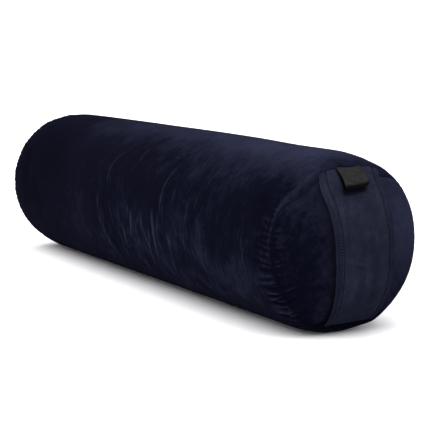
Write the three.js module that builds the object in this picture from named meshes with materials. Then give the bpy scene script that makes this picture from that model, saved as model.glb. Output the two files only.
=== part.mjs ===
// A round yoga bolster in velvet, lying on its side: a long stuffed tube drawn in to a gathered
// seam at each end, a domed end panel in each seam, and on the near end a wide stitched carrying
// strap with a small folded woven label where it leaves the seam.
// Millimetres, +Z up, +X along the bolster to the end with the strap.
// The origin is on the surface the bolster lies on, under the middle of its box.
import * as THREE from 'three';

// The stuffed tube
const bodyRadius = 100;
const seamToSeam = 725;
const crown = 1.9;              // the tube is this much slimmer at its ends than at its middle
const footDepth = 3.2;          // the round is pressed flat this deep where it lies
const footFrom = 0.7;           // the weight smooths the skin from this share of the radius down
const footFull = 0.93;          // and fully below this one
const footEnd = 42;             // the flat ends this far from each seam
const footRise = 1;             // and the tube stands this much off the ground at the seam
const shoulderLength = 47;      // over this length the tube draws in towards each seam
const shoulderRadius = 95.8;    // where the shoulder would meet the seam plane
const shoulderPower = 1.8;

// The seams and their gathers
const seamPinch = 2.4;          // the thread draws the seam in under the shoulder
const pinchReach = 4;
const gathers = 54;             // small pleats round each seam
const bodyGatherDepth = 2.3;
const panelGatherDepth = 2.0;
const gatherAtSeam = 0.35;      // share of a gather's depth on the seam itself
const gatherPeak = 6;           // a gather is deepest this far from the seam
const gatherReach = 30;         // and has faded out this far from it
const meetingGap = 0.3;         // between sewn pieces that touch

// The end panels
const seamRadius = shoulderRadius - seamPinch;
const domeHeight = 29.5;
const domePower = 2.25;
const panelPuff = 3;            // the panel rises quickly beside the seam
const panelPuffRise = 3;
const panelPuffReach = 15;

// The carrying strap
const strapWidth = 73.5;
const strapFootWidth = 62;      // it narrows towards its lower end
const strapTopShift = 7;        // its upper end is sewn in this far along Y
const strapTopBend = 0.6;       // and the shift ends this share of the way up it
const strapFootShift = 2;       // its lower end stands this far along Y
const strapThickness = 3.2;
const strapTurn = 2.6;          // degrees that it is sewn out of upright
const strapReach = 38.4;        // from the seam plane out to the inner face of its middle
const strapPower = 2.3;         // how flat its middle is
const strapBend = 1.22;         // how tightly it bends where it leaves the seam
const strapSideDrop = 0.6;      // its edges lie this much closer to the panel than its middle
const strapClearance = 0.5;     // over the panel's edge in the seam
const stitchInset = 8;          // the topstitched line, in from each edge
const stitchDepth = 1.2;
const stitchHalfWidth = 1.6;

// How the seam takes the strap's two ends: drawn in by pull, over hold degrees on each side of
// the end's middle, which is turned by middle degrees from straight up or down. The pull is
// lean more at its -Y side and lean less at its +Y side. The line is straight or follows a circle.
// The upper end draws the seam in much further round on its -Y side, over slack degrees more.
const upperSeat = { pull: 4, lean: 2.8, hold: 28, slack: 14, middle: 4.8, straight: false };
const lowerSeat = { pull: 6, lean: 0, hold: 22.5, slack: 0, middle: -1.4, straight: true };
const seatFade = 14;            // degrees past hold where the seam is its own line again, and
                                // one degree more for each degree of slack
const pullReach = 10;           // the pull fades over this distance along the tube

// The folded label
const labelWidth = 30;
const labelLength = 33.3;
const labelSkew = 0.065;        // its -Y side hangs longer by this share and its +Y side shorter
const labelSwing = -5;          // its fold stands this far along Y from its sewn end
const labelOffset = 4;          // and its sewn end this far from the strap's middle
const labelLeaf = 1;
const labelOpening = 1.5;       // clear between its leaves at the lower fold
const labelRoot = 0.57;         // clearance over the strap at its sewn end
const labelStandoff = 1.6;      // and this much more at its fold
const labelTuck = 3;            // how far below the seam it shows
const labelSewn = 2.6;          // its leaves are sewn together over this length

// Long soft creases round the tube. Each lies at x along the tube for a span of angles, which
// count upwards from the side facing -Y, and its bow shifts its middle along the tube.
const creases = [
  { x: -12, bow: -24, from: 4, to: 66, depth: 1.5, width: 5.5 },
  { x: 22, bow: 6, from: 22, to: 64, depth: 1.3, width: 5.5 },
  { x: 39, bow: 2, from: -24, to: 10, depth: 1.4, width: 5.0 },
  { x: 72, bow: 8, from: -46, to: 12, depth: 1.7, width: 5.5 },
  { x: 100, bow: 3, from: -38, to: 14, depth: 1.6, width: 5.5 },
  { x: 124, bow: -5, from: -26, to: 52, depth: 1.7, width: 5.5 },
  { x: 184, bow: -4, from: -24, to: 10, depth: 1.2, width: 7.0 },
  { x: 314, bow: 3, from: -30, to: 18, depth: 1.3, width: 8.0 },
];

// Broad hollows and swellings where the filling has shifted.
const lumps = [
  { x: -205, angle: 20, height: -1.3, length: 75, spread: 55 },
  { x: -60, angle: 150, height: -1.2, length: 80, spread: 50 },
  { x: 60, angle: -25, height: -1.6, length: 70, spread: 40 },
  { x: 215, angle: -18, height: 1.0, length: 34, spread: 38 },
  { x: 245, angle: 95, height: -1.0, length: 60, spread: 60 },
];

// How finely the round is cut
const gatherSides = gathers * 4;
const tubeSides = gathers;
const seamSteps = [0, 4, 9, 17];            // ring distances from the seam, at gatherSides
const fadeSteps = [28, 42];                 // then at half and at a quarter of them
const tubePitch = 30;
const creasePitch = 8;
const creaseZone = { from: -46, to: 196 };
const domeSteps = [0, 4, 9, 17];            // ring distances in from the seam, at gatherSides
const domeShares = [0.7, 0.56, 0.4, 0.2];   // then as shares of the radius
const strapRows = 32;
const labelRows = 9;

const halfLength = seamToSeam / 2;
const degrees = Math.PI / 180;

function bell(value, width) {
  return Math.exp(-((value / width) ** 2));
}

function rise(value, from, to) {
  return THREE.MathUtils.smoothstep(value, from, to);
}

function wrapped(angle) {
  return Math.atan2(Math.sin(angle), Math.cos(angle)) / degrees;
}

// Angles run from the side facing -Y, over the top, to the side facing +Y. A turn is the same
// round evenly counted, and its gathers stand a little unevenly.
function angleOf(turn) {
  return turn + 0.022 * Math.sin(3 * turn + 1) + 0.01 * Math.sin(8 * turn);
}

// Where a place on the near seam is from a strap end, in degrees: turned from straight up or
// down along the strap, off from the end's middle, and how firmly the end holds it, from 1 to 0
function strapSeat(angle) {
  const lean = angle + strapTurn * degrees;
  const fromUpper = wrapped(lean - Math.PI / 2);
  const fromLower = wrapped(lean + Math.PI / 2);
  const upper = Math.abs(fromUpper) < Math.abs(fromLower);
  const seat = upper ? upperSeat : lowerSeat;
  const turned = upper ? fromUpper : fromLower;
  const off = turned - seat.middle;
  const slack = off < 0 ? seat.slack : 0;
  const hold = seat.hold + slack;
  return { turned, off, seat, held: 1 - rise(Math.abs(off), hold, hold + seatFade + slack) };
}

function seatPull(seat, off) {
  const furthest = -1 - seat.slack / seat.hold;
  return seat.pull - seat.lean * THREE.MathUtils.clamp(off / seat.hold, furthest, 1);
}

// The radius of the seam's line, or of a line that the seam's filling pushes inwards under the
// strap's ends
function edgeRadius(angle, side, filling) {
  const free = seamRadius + 0.5 * Math.sin(3 * angle + side) + 0.3 * Math.sin(7 * angle + 2);
  if (side < 0) return free;
  const { turned, off, seat, held } = strapSeat(angle);
  const taken = seamRadius - seatPull(seat, off) - filling;
  const line = seat.straight ? taken / Math.cos(turned * degrees) : taken;
  return THREE.MathUtils.lerp(free, Math.min(line, free), held);
}

// The panel's edge leaves room for the strap and the label, a little under the tube's edge.
const seamTuck = 0.7;
const seamFilling = strapThickness + 2 * labelLeaf + 3 * meetingGap + seamTuck;

function strapHeld(angle, side) {
  return side < 0 ? 0 : strapSeat(angle).held;
}

// From 0 on a ridge to the local strength in the hollow of a gather
function gather(turn, side) {
  const pleat = 0.5 - 0.5 * Math.cos(gathers * turn);
  const uneven = 0.62 + 0.25 * Math.sin(2 * turn - 0.8 * side) + 0.2 * Math.sin(5 * turn + 1);
  const every = 1 + 0.25 * Math.sin(gathers * 0.41 * turn + side);
  return pleat * uneven * every * (1 - 0.9 * strapHeld(angleOf(turn), side));
}

// A gather's depth over the distance from the seam: a third on the seam, then full, then fading
function gatherFade(distance) {
  const growing = THREE.MathUtils.lerp(gatherAtSeam, 1, rise(distance, 0, gatherPeak));
  return growing * (1 - rise(distance, gatherPeak, gatherReach));
}

function creaseDepth(x, angle) {
  let depth = 0;
  for (const crease of creases) {
    const share = (angle / degrees - crease.from) / (crease.to - crease.from);
    if (share <= 0 || share >= 1) continue;
    const across = x - crease.x - crease.bow * Math.sin(Math.PI * share);
    depth += crease.depth * Math.sin(Math.PI * share) * bell(across, crease.width);
  }
  return depth;
}

function lumpHeight(x, angle) {
  let height = 0;
  for (const lump of lumps) {
    const turn = wrapped(angle - lump.angle * degrees);
    height += lump.height * bell(x - lump.x, lump.length) * bell(turn, lump.spread);
  }
  return height;
}

// A point of the tube's skin, about the bolster's own axis
function tubePoint(x, turn) {
  const side = Math.sign(x) || 1;
  const angle = angleOf(turn);
  const fromSeam = halfLength - Math.abs(x);
  const pressed = rise(-Math.sin(angle), footFrom, footFull);
  const tube = bodyRadius - crown * (1 - pressed) * (x / halfLength) ** 2;
  const near = Math.max(0, 1 - fromSeam / shoulderLength) ** shoulderPower;
  const drawnIn = seamRadius - edgeRadius(angle, side, 0);
  let radius = tube + (shoulderRadius - tube) * near;
  radius -= seamPinch * Math.exp(-fromSeam / pinchReach) + drawnIn * Math.exp(-fromSeam / pullReach);
  radius -= bodyGatherDepth * gather(turn, side) * gatherFade(fromSeam);
  radius += (lumpHeight(x, angle) - creaseDepth(x, angle)) * (1 - near) * (1 - pressed);
  const foot = footDepth - bodyRadius + footRise * Math.max(0, 1 - fromSeam / footEnd);
  const height = Math.max(radius * Math.sin(angle), foot);
  return new THREE.Vector3(x, -radius * Math.cos(angle), height);
}

// How far the end panel stands out of the seam plane, at a share of the radius of its edge
function domeOut(share, edge) {
  const inward = edge * (1 - share);
  const rising = 1 - Math.exp(-inward / panelPuffRise);
  const puff = panelPuff * rising * Math.exp(-inward / panelPuffReach);
  return domeHeight * (1 - share ** domePower) + puff;
}

function panelPoint(share, turn, side) {
  const angle = angleOf(turn);
  const line = edgeRadius(angle, side, seamFilling);
  const edge = line - bodyGatherDepth * gather(turn, side) * gatherFade(0);
  const depth = gatherFade(edge * (1 - share)) - gatherFade(0);
  const out = domeOut(share, edge) - panelGatherDepth * gather(turn, side) * Math.max(depth, 0);
  const radius = edge * share;
  return new THREE.Vector3(side * out, -radius * Math.cos(angle), radius * Math.sin(angle));
}

// A ring of points, evenly counted round the axis
function ringOf(sides, pointAt) {
  return Array.from({ length: sides }, (_, i) => pointAt((i / sides) * 2 * Math.PI - Math.PI / 2));
}

// The faces between two rings, where the second has as many points as the first, half or double
function stitchRings(first, second, a, b, faces) {
  const many = Math.max(first, second);
  const stepA = first / many;
  const stepB = second / many;
  for (let i = 0; i < many; i += 1) {
    const a0 = a + (Math.floor(i * stepA + 1e-6) % first);
    const a1 = a + (Math.floor((i + 1) * stepA + 1e-6) % first);
    const b0 = b + (Math.floor(i * stepB + 1e-6) % second);
    const b1 = b + (Math.floor((i + 1) * stepB + 1e-6) % second);
    if (a0 !== a1) faces.push(a0, a1, b0);
    if (b0 !== b1) faces.push(a1, b1, b0);
  }
}

// A closed solid from rings that run along an axis, each end closed to its middle point
function solidFromRings(rings, startMiddle, endMiddle, towardsPlusX) {
  const points = [];
  const starts = [];
  for (const ring of rings) {
    starts.push(points.length);
    points.push(...ring);
  }
  const faces = [];
  for (let k = 0; k + 1 < rings.length; k += 1) {
    stitchRings(rings[k].length, rings[k + 1].length, starts[k], starts[k + 1], faces);
  }
  const first = rings[0].length;
  const last = rings[rings.length - 1].length;
  const lastStart = starts[starts.length - 1];
  points.push(startMiddle, endMiddle);
  for (let i = 0; i < first; i += 1) faces.push(points.length - 2, (i + 1) % first, i);
  for (let i = 0; i < last; i += 1) {
    faces.push(points.length - 1, lastStart + i, lastStart + ((i + 1) % last));
  }
  return solid(points, towardsPlusX ? reversed(faces) : faces);
}

function reversed(faces) {
  const turned = [];
  for (let i = 0; i < faces.length; i += 3) turned.push(faces[i], faces[i + 2], faces[i + 1]);
  return turned;
}

function solid(points, faces) {
  const geometry = new THREE.BufferGeometry();
  const numbers = points.flatMap((point) => point.toArray());
  geometry.setAttribute('position', new THREE.Float32BufferAttribute(numbers, 3));
  geometry.setIndex(faces);
  geometry.computeVertexNormals();
  return geometry;
}

// Where the tube's rings stand: close in the crease zone, wider elsewhere
function tubeStations() {
  const reach = halfLength - fadeSteps[fadeSteps.length - 1];
  const stations = [];
  const addRun = (from, to, pitch) => {
    const count = Math.ceil((to - from) / pitch);
    for (let i = 1; i <= count; i += 1) stations.push(from + ((to - from) * i) / count);
  };
  addRun(-reach, creaseZone.from, tubePitch);
  addRun(creaseZone.from, creaseZone.to, creasePitch);
  addRun(creaseZone.to, reach, tubePitch);
  stations.pop();
  return stations;
}

function tubeBody() {
  const rings = [];
  const ends = [
    ...seamSteps.map((step) => ({ step, sides: gatherSides })),
    ...fadeSteps.map((step, i) => ({ step, sides: gatherSides / 2 ** (i + 1) })),
  ];
  for (const { step, sides } of ends) {
    rings.push(ringOf(sides, (turn) => tubePoint(step - halfLength, turn)));
  }
  for (const x of tubeStations()) rings.push(ringOf(tubeSides, (turn) => tubePoint(x, turn)));
  for (const { step, sides } of ends.reverse()) {
    rings.push(ringOf(sides, (turn) => tubePoint(halfLength - step, turn)));
  }
  return solidFromRings(
    rings,
    new THREE.Vector3(-halfLength, 0, 0),
    new THREE.Vector3(halfLength, 0, 0),
    true,
  );
}

function endPanel(side) {
  const rings = [];
  for (const step of domeSteps) {
    rings.push(ringOf(gatherSides, (turn) => panelPoint(1 - step / seamRadius, turn, side)));
  }
  domeShares.forEach((share, i) => {
    const sides = Math.max(gatherSides / 2 ** (i + 1), tubeSides);
    rings.push(ringOf(sides, (turn) => panelPoint(share, turn, side)));
  });
  const apex = new THREE.Vector3(side * domeOut(0, seamRadius), 0, 0);
  return solidFromRings(rings, new THREE.Vector3(0, 0, 0), apex, side > 0);
}

// The strap's inner face. Across it u runs from -1 to 1 and up it w runs from -1 to 1. In side
// view it is a flattened arch that leaves the seam square to the seam plane.
function strapEndHeight(y, upper) {
  const seat = upper ? upperSeat : lowerSeat;
  const level = seamRadius - seat.pull - seamFilling + strapClearance;
  if (seat.straight) return level;
  const off = Math.asin(y / level) / degrees - seat.middle;
  const inner = level + seat.pull - seatPull(seat, off);
  return Math.sqrt(inner ** 2 - y ** 2);
}

function strapShift(w) {
  return strapTopShift * rise(w, strapTopBend, 1) + strapFootShift * rise(-w, 0, 1);
}

function strapInner(u, w) {
  const width = THREE.MathUtils.lerp(strapFootWidth, strapWidth, rise(w, -1, 0));
  const y = (u * width) / 2 + strapShift(w);
  const s = Math.sin((w * Math.PI) / 2);
  const arch = Math.max(1 - Math.abs(s) ** strapPower, 0) ** (1 / strapBend);
  const out = (strapReach - strapSideDrop * u ** 2) * arch;
  return new THREE.Vector3(out, y, s * strapEndHeight(y, w > 0));
}

function strapOuter(u, w, thickness) {
  const h = 0.01;
  const across = strapInner(u + h, w).sub(strapInner(u - h, w));
  const up = strapInner(u, Math.min(w + h, 1)).sub(strapInner(u, Math.max(w - h, -1)));
  const out = across.cross(up).normalize();
  return strapInner(u, w).addScaledVector(out, thickness);
}

// The strap's columns, as millimetres in from its edge: the rolled edge, the stitched line with
// its two sides, and the flat part up to the middle
const strapColumns = [
  { in: 0, thick: 0.6 },
  { in: 1.6, thick: 1 },
  { in: stitchInset - stitchHalfWidth, thick: 1 },
  { in: stitchInset, thick: 1 - stitchDepth / strapThickness },
  { in: stitchInset + stitchHalfWidth, thick: 1 },
  { in: strapWidth / 4, thick: 1 },
  { in: strapWidth * 0.375, thick: 1 },
];

function carryingStrap() {
  const half = strapWidth / 2;
  const across = [
    ...strapColumns.map((column) => ({ u: column.in / half - 1, thick: column.thick })),
    { u: 0, thick: 1 },
    ...strapColumns.map((column) => ({ u: 1 - column.in / half, thick: column.thick })).reverse(),
  ];
  const points = [];
  for (let row = 0; row < strapRows; row += 1) {
    const w = (row / (strapRows - 1)) * 2 - 1;
    const inner = across.map(({ u }) => strapInner(u, w));
    const outer = across.map(({ u, thick }) => strapOuter(u, w, strapThickness * thick));
    points.push(...inner, ...outer.reverse());
  }
  const loop = across.length * 2;
  const faces = [];
  for (let row = 0; row + 1 < strapRows; row += 1) {
    for (let i = 0; i < loop; i += 1) {
      const a = row * loop + i;
      const b = row * loop + ((i + 1) % loop);
      faces.push(a, a + loop, b, b, a + loop, b + loop);
    }
  }
  const last = (strapRows - 1) * loop;
  for (let i = 0; i + 1 < across.length; i += 1) {
    const j = loop - 1 - i;
    faces.push(i, i + 1, j, i + 1, j - 1, j);
    faces.push(last + i, last + j, last + i + 1, last + i + 1, last + j, last + j - 1);
  }
  return solid(points, faces);
}

// Places down the strap's outer face from the seam, along one side line or middle line of the
// label: y is where the line starts. Each place has its direction away from the strap.
function labelPlaces(y, from, count) {
  const places = [];
  const step = 0.0005;
  const whole = labelLength * (1 - (labelSkew * 2 * y) / labelWidth);
  const middle = (length) => labelOffset + (labelSwing * length) / labelLength;
  const across = (length, w) => ((middle(length) + y - strapShift(w)) * 2) / strapWidth;
  const on = (length, w, lift) => strapOuter(across(length, w), w, strapThickness + lift);
  let length = 0;
  let w = 1;
  while (places.length < count) {
    const here = on(length, w, 0);
    if (length >= from + ((whole - from) * places.length) / (count - 1)) {
      const out = on(length, w, 1).sub(here).normalize();
      const down = on(length, w - 0.01, 0).sub(here).normalize();
      places.push({ at: here, out, down, share: length / whole });
    }
    length += on(length, w - step, 0).distanceTo(here);
    w -= step;
  }
  return places;
}

// The label cut along such a line: two leaves that lie together in the seam and part towards
// the fold. Inset 0 gives the outline and inset labelLeaf the hollow between the leaves.
function labelOutline(places, inset) {
  const under = [];
  const over = [];
  for (const { at, out, share } of places) {
    const near = labelRoot + labelStandoff * rise(share, 0, 1);
    const far = near + 2 * labelLeaf + meetingGap + labelOpening * rise(share, 0, 1);
    under.push(at.clone().addScaledVector(out, near + inset));
    over.push(at.clone().addScaledVector(out, far - inset));
  }
  const { down } = places[places.length - 1];
  const from = under[under.length - 1];
  const to = over[over.length - 1];
  const middle = from.clone().add(to).multiplyScalar(0.5);
  const radius = from.distanceTo(to) / 2;
  const fold = [];
  for (let i = 1; i < 6; i += 1) {
    const turn = (Math.PI * i) / 6;
    const arm = from.clone().sub(middle).multiplyScalar(Math.cos(turn));
    fold.push(middle.clone().add(arm).addScaledVector(down, radius * Math.sin(turn)));
  }
  return [...under, ...fold, ...over.reverse()];
}

function foldedLabel() {
  const lines = [-1, -0.5, 0, 0.5, 1].map((share) => (share * labelWidth) / 2);
  const outlines = lines.map((y) => labelOutline(labelPlaces(y, labelTuck, labelRows), 0));
  const hollowFrom = labelTuck + labelSewn;
  const hollows = lines.map((y) => labelOutline(labelPlaces(y, hollowFrom, labelRows), labelLeaf));
  const loop = outlines[0].length;
  const hollowStart = loop * lines.length;
  const faces = [];
  for (let k = 0; k + 1 < lines.length; k += 1) {
    for (let i = 0; i < loop; i += 1) {
      const next = (i + 1) % loop;
      const [a, b, c, d] = [i, next, i + loop, next + loop].map((index) => index + k * loop);
      faces.push(a, c, b, b, c, d);
      faces.push(...[a, b, c, b, d, c].map((index) => index + hollowStart));
    }
  }
  const lastLine = (lines.length - 1) * loop;
  for (let i = 0; i < loop; i += 1) {
    const next = (i + 1) % loop;
    const [a, b, c, d] = [i, next, i + hollowStart, next + hollowStart];
    faces.push(a, b, c, b, d, c);
    faces.push(...[a, c, b, b, c, d].map((index) => index + lastLine));
  }
  return solid([...outlines.flat(), ...hollows.flat()], faces);
}

const velvet = new THREE.MeshStandardMaterial({ color: 0x14162b, roughness: 0.85, metalness: 0 });
const strapVelvet = new THREE.MeshStandardMaterial({ color: 0x1c2036, roughness: 0.82, metalness: 0 });
const wovenLabel = new THREE.MeshStandardMaterial({ color: 0x1b1b19, roughness: 0.6, metalness: 0 });

function named(name, geometry, material) {
  const mesh = new THREE.Mesh(geometry, material);
  mesh.name = name;
  return mesh;
}

function bolster() {
  const onAxis = new THREE.Group();
  onAxis.add(named('tube_body', tubeBody(), velvet));

  const nearPanel = named('near_end_panel', endPanel(1), velvet);
  nearPanel.position.x = halfLength + meetingGap;
  const farPanel = named('far_end_panel', endPanel(-1), velvet);
  farPanel.position.x = -halfLength - meetingGap;
  onAxis.add(nearPanel, farPanel);

  const handle = new THREE.Group();
  handle.position.x = halfLength + meetingGap;
  handle.rotation.x = strapTurn * degrees;
  handle.add(named('carrying_strap', carryingStrap(), strapVelvet));
  handle.add(named('folded_label', foldedLabel(), wovenLabel));
  onAxis.add(handle);
  return onAxis;
}

// The origin goes under the middle of the whole bolster's box.
const group = new THREE.Group();
group.add(bolster());
const box = new THREE.Box3().setFromObject(group, true);
group.children[0].position.set(
  -(box.min.x + box.max.x) / 2,
  -(box.min.y + box.max.y) / 2,
  -box.min.z,
);

export default group;
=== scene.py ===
"""Looks of a round velvet yoga bolster that lies on its side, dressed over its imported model.

Shapes are worked out in millimetres about the bolster's own axis, and become meshes in metres.
x runs along the bolster to the end with the strap. An angle counts up from the side facing -Y,
over the top, to the side facing +Y, so a place on the round is (x, -r cos angle, r sin angle).
"""

import bpy
import numpy as np
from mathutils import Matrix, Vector


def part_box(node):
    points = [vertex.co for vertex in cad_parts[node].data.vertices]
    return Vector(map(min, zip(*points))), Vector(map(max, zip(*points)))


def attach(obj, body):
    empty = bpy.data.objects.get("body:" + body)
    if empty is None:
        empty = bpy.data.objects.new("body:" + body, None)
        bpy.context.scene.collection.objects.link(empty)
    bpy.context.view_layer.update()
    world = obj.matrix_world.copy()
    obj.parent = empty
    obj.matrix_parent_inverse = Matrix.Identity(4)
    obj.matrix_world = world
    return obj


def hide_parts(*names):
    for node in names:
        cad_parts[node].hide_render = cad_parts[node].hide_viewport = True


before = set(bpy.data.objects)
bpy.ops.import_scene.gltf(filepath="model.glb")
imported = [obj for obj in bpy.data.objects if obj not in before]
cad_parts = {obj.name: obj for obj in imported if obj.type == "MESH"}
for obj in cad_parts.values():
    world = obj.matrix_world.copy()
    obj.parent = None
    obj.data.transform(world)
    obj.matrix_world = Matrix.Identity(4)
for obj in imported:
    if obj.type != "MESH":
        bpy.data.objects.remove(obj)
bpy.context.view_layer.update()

MM = 0.001

# The tube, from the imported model's own box
tube_low, tube_high = (np.array(corner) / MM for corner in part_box("tube_body"))
HALF_LENGTH = (tube_high[0] - tube_low[0]) / 2
BODY_RADIUS = 100.0
FOOT_DEPTH = 3.2  # the round is pressed flat this deep where it lies
AXIS = np.array([
    (tube_low[0] + tube_high[0]) / 2,
    (tube_low[1] + tube_high[1]) / 2,
    tube_low[2] + BODY_RADIUS - FOOT_DEPTH,
])
CROWN = 1.9  # it is this much slimmer at its seams than half way
SHOULDER_LENGTH, SHOULDER_POWER = 47.0, 1.8
SHOULDER_RADIUS = 95.8  # and draws in to this along its shoulders
FOOT_FROM, FOOT_FULL = 0.70, 0.93  # sines of the angles where its foot begins and is full
FOOT_END, FOOT_RISE = 42.0, 1.0  # the foot rises this far, this close to a seam

# The seams
SEAM_PINCH, PINCH_REACH = 2.4, 4.0
SEAM_RADIUS = SHOULDER_RADIUS - SEAM_PINCH
SEAM_ROLL, ROLL_REACH = 2.6, 1.5  # the skin rolls this much further in, at the thread
SEAM_WAVES = (0.5, 3), (0.3, 7)  # how far the seam waves in and out, how often a turn
MEETING_GAP = 0.3  # between two pieces that are sewn together
SEAM_TUCK = 0.7

# The end panels
DOME_HEIGHT, DOME_POWER = 29.5, 2.25
PANEL_PUFF, PUFF_RISE, PUFF_REACH = 3.0, 3.0, 15.0
PANEL_HELD, TUBE_HELD = 6.0, 5.0  # cloth this close to the seam doesn't settle

# The carrying strap
STRAP_WIDTH, STRAP_FOOT_WIDTH, STRAP_THICKNESS = 73.5, 62.0, 3.2
STRAP_TOP_SHIFT, STRAP_TOP_BEND = 7.0, 0.6  # its upper end is sewn in this far along Y
STRAP_FOOT_SHIFT = 2.0
STRAP_TURN = np.radians(2.6)  # it is sewn this much out of upright
STRAP_REACH, STRAP_POWER, STRAP_BEND, STRAP_SIDE_DROP = 38.4, 2.3, 1.22, 0.6
STRAP_CLEARANCE, STRAP_EDGE_ROUND, STRAP_ROWS, STITCH_INSET = 0.5, 2.6, 171, 8.0
STITCH_PITCH, STITCH_HALF, THREAD_RADIUS = 3.2, 1.15, 0.34
STITCH_PLACES, STITCH_SIDES = 5, 6
STITCH_SUNK, STITCH_ARCH = 1.05, 0.25  # below the strap's skin, and up again in its middle

# How high or deep each form on its outer face is
STRAP_RELIEF = {
    "border": 0.35, "dip": 1.25, "waves": 0.35, "crease": 0.3, "low_crease": 0.4, "pucker": 0.12,
}

# How its ends draw the seam in: by pull, with lean more towards -Y, held over as many degrees
# each way and slack more towards -Y. middle is where from straight up or down, in degrees, and
# dip the dent under the label, that many degrees wide each way.
UPPER_SEAT = {
    "pull": 4.0, "lean": 2.8, "hold": 28.0, "slack": 14.0, "middle": 4.8, "dip": 5.2, "spread": 13.0,
}
LOWER_SEAT = {"pull": 6.0, "hold": 22.5, "middle": -1.4}
SEAT_FADE, PULL_REACH = 14.0, 10.0

# The label
LABEL_WIDTH, LABEL_LENGTH, LABEL_LEAF = 30.0, 31.6, 1.0
LABEL_SKEW, LABEL_SWING, LABEL_OFFSET = 0.065, -6.0, 5.0
LABEL_OPENING, LABEL_ROOT, LABEL_STANDOFF, LABEL_START = 1.5, 0.57, 1.6, 1.5
LABEL_LOOP, LABEL_LOOP_SHORTER = 3.2, 3.0  # its fold stands this much wider and higher
LABEL_SHADE_AT, LABEL_SHADE_REACH = 4.0, 3.0  # and shades the strap this far below its leaves
LABEL_SKIN, LABEL_EDGE_ROUND = 0.42, 0.5  # half the ribbon's thickness, and its edge's round
LABEL_LINES, LEAF_PLACES, FOLD_PLACES = 25, 28, 9  # across it, down a leaf and round the fold
# The label's fold is painted dark, a painted shade on its underside that fades out between these
# places
LABEL_SHADE_FROM, LABEL_SHADE_TO = 34.5, 38.5  # places between which its fold turns dark
LABEL_PLACE_PITCH = 1.15
SEAM_FILLING = STRAP_THICKNESS + 2 * LABEL_LEAF + 3 * MEETING_GAP + SEAM_TUCK

# The tube's and the panels' grids: places and the pitch of the grid there
AROUND = 480  # points round the tube's ends and round each panel
FINE_FROM = 320.0  # half as many round the tube between these places
TUBE_PLACES = [-362.5, -359, -352, -335, -300, -70, -55, 205, 220, 310, 335, 352, 359, 362.5]
TUBE_PITCHES = [0.5, 0.9, 1.4, 1.8, 5, 5, 1.5, 1.5, 2.6, 2.6, 1.5, 1.2, 0.8, 0.4]
PANEL_PLACES = [0, 4, 30, 60, SEAM_RADIUS - 4]
PANEL_PITCHES = [0.45, 1.1, 1.3, 3, 4]

# The cloth simulation of the filling
CLOTH_ROWS, CLOTH_AROUND = 121, 132
PANEL_CLOTH_ROWS, PANEL_CLOTH_FROM = 23, 0.16  # the latter is a share of the panel's radius
CLOTH_FRAMES, CLOTH_QUALITY, CLOTH_PRESSURE = 20, 5, 4.0
CLOTH_EASE = 0.0015  # the cloth is cut this much fuller than the filling
CLOTH_START, CLOTH_CAP = 0.2, 2.5  # it starts this much slimmer, and may move this far

# The small pleats round each seam
GATHERS = 84
TUBE_GATHER_DEPTH, PANEL_GATHER_DEPTH = 2.3, 1.4
# How strongly the pleats' painted shading is laid on: painted shade in each valley and a painted
# highlight on the ridge beside it
TUBE_GATHER_SHADING, PANEL_GATHER_SHADING = 0.62, 0.3
GATHER_LIMIT = 40  # none reaches further along the tube
GATHER_SEAM_DEPTH, GATHER_OPENS = 0.4, 4  # their depth on the seam, and where they are full

# Painted light and shade, as added to the velvet's own tone
# Tube: a painted highlight along the near seam's roll, and painted shade underneath and in the dip
# above the label
TUBE_SEAM_PAINTED_HIGHLIGHT, TUBE_FOOT_PAINTED_SHADE, TUBE_DIP_PAINTED_SHADE = 0.45, 0.3, 0.4
# Near panel: a small lift overall, painted light on its top, its +Y side and beside the strap, and
# painted shade low on its -Y side and along the seam there; the far panel gets only the painted shade
# low on its -Y side
PANEL_LIGHT_AND_SHADE = {
    "ground": 0.17, "top": 0.12, "back": 0.48, "beside_strap": 0.2, "low_front": 0.14, "seam": 0.3,
}
FAR_PANEL_LOW_FRONT_SHADE = 0.1
# Strap face: lighter towards its head, darker over its borders, painted highlights along the border's
# edge and beside the stitching, painted shade in the stitched line, the label's painted shadow, and
# painted shading on the waves and the crease
STRAP_TONES_AND_SHADING = {
    "ground": -0.12, "head": 0.28, "front_border": 0.28, "back_border": 0.3, "edge": 0.3,
    "inner_line": 0.4, "outer_line": 0.1, "stitched": 0.8, "label_shade": 1.3, "waves": 0.2,
    "crease": 0.4,
}

# Across a long crease: its ridge, the hollow so far beside it, and the line of shine, partly crushed
# pile and partly a painted highlight
RIDGE_HEIGHT, RIDGE_WIDTH = 0.35, 1.8
HOLLOW_DEPTH, HOLLOW_BESIDE, HOLLOW_WIDTH = 0.5, 3.6, 2.8
SHINE_WIDTH = 1.3

# Long thin creases in the pile: how bright its line is, partly the crushed pile's own lighter tone and
# partly a painted highlight, the depth of the fold under it, and (x along the tube, degrees) places
# down its line
CREASES = [
    (0.75, 0.7, [(-4.5, 61), (-20, 49), (-33, 39), (-38, 32), (-34.5, 19), (-30, 8)]),
    (0.7, 0.6, [(30, 59), (27, 49), (25, 39), (21, 33), (16, 28)]),
    (0.75, 0.8, [(130, 48), (125, 38), (120, 29), (119, 20), (120.5, 11), (124, 2)]),
    (1.0, 1.1, [(97, 9), (102, -3.5), (102, -16), (94, -32)]),
    (1.0, 0.9, [(41.5, 5), (41.6, -7), (35, -18)]),
    (0.9, 1.1, [(66, 7), (72, -6), (80, -15), (81, -23), (68, -41)]),
    (0.55, 0.5, [(-22, 14), (-16, 2), (-9, -12)]),
    (0.6, 0.6, [(119, 9), (114, -16), (117, -21)]),
    (0.5, 0.4, [(159, 1), (167, -6)]),
    (0.55, 0.5, [(184, -1), (180.5, -15)]),
    (0.5, 0.8, [(311, 11.5), (316, -7), (319, -19)]),
]

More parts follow.
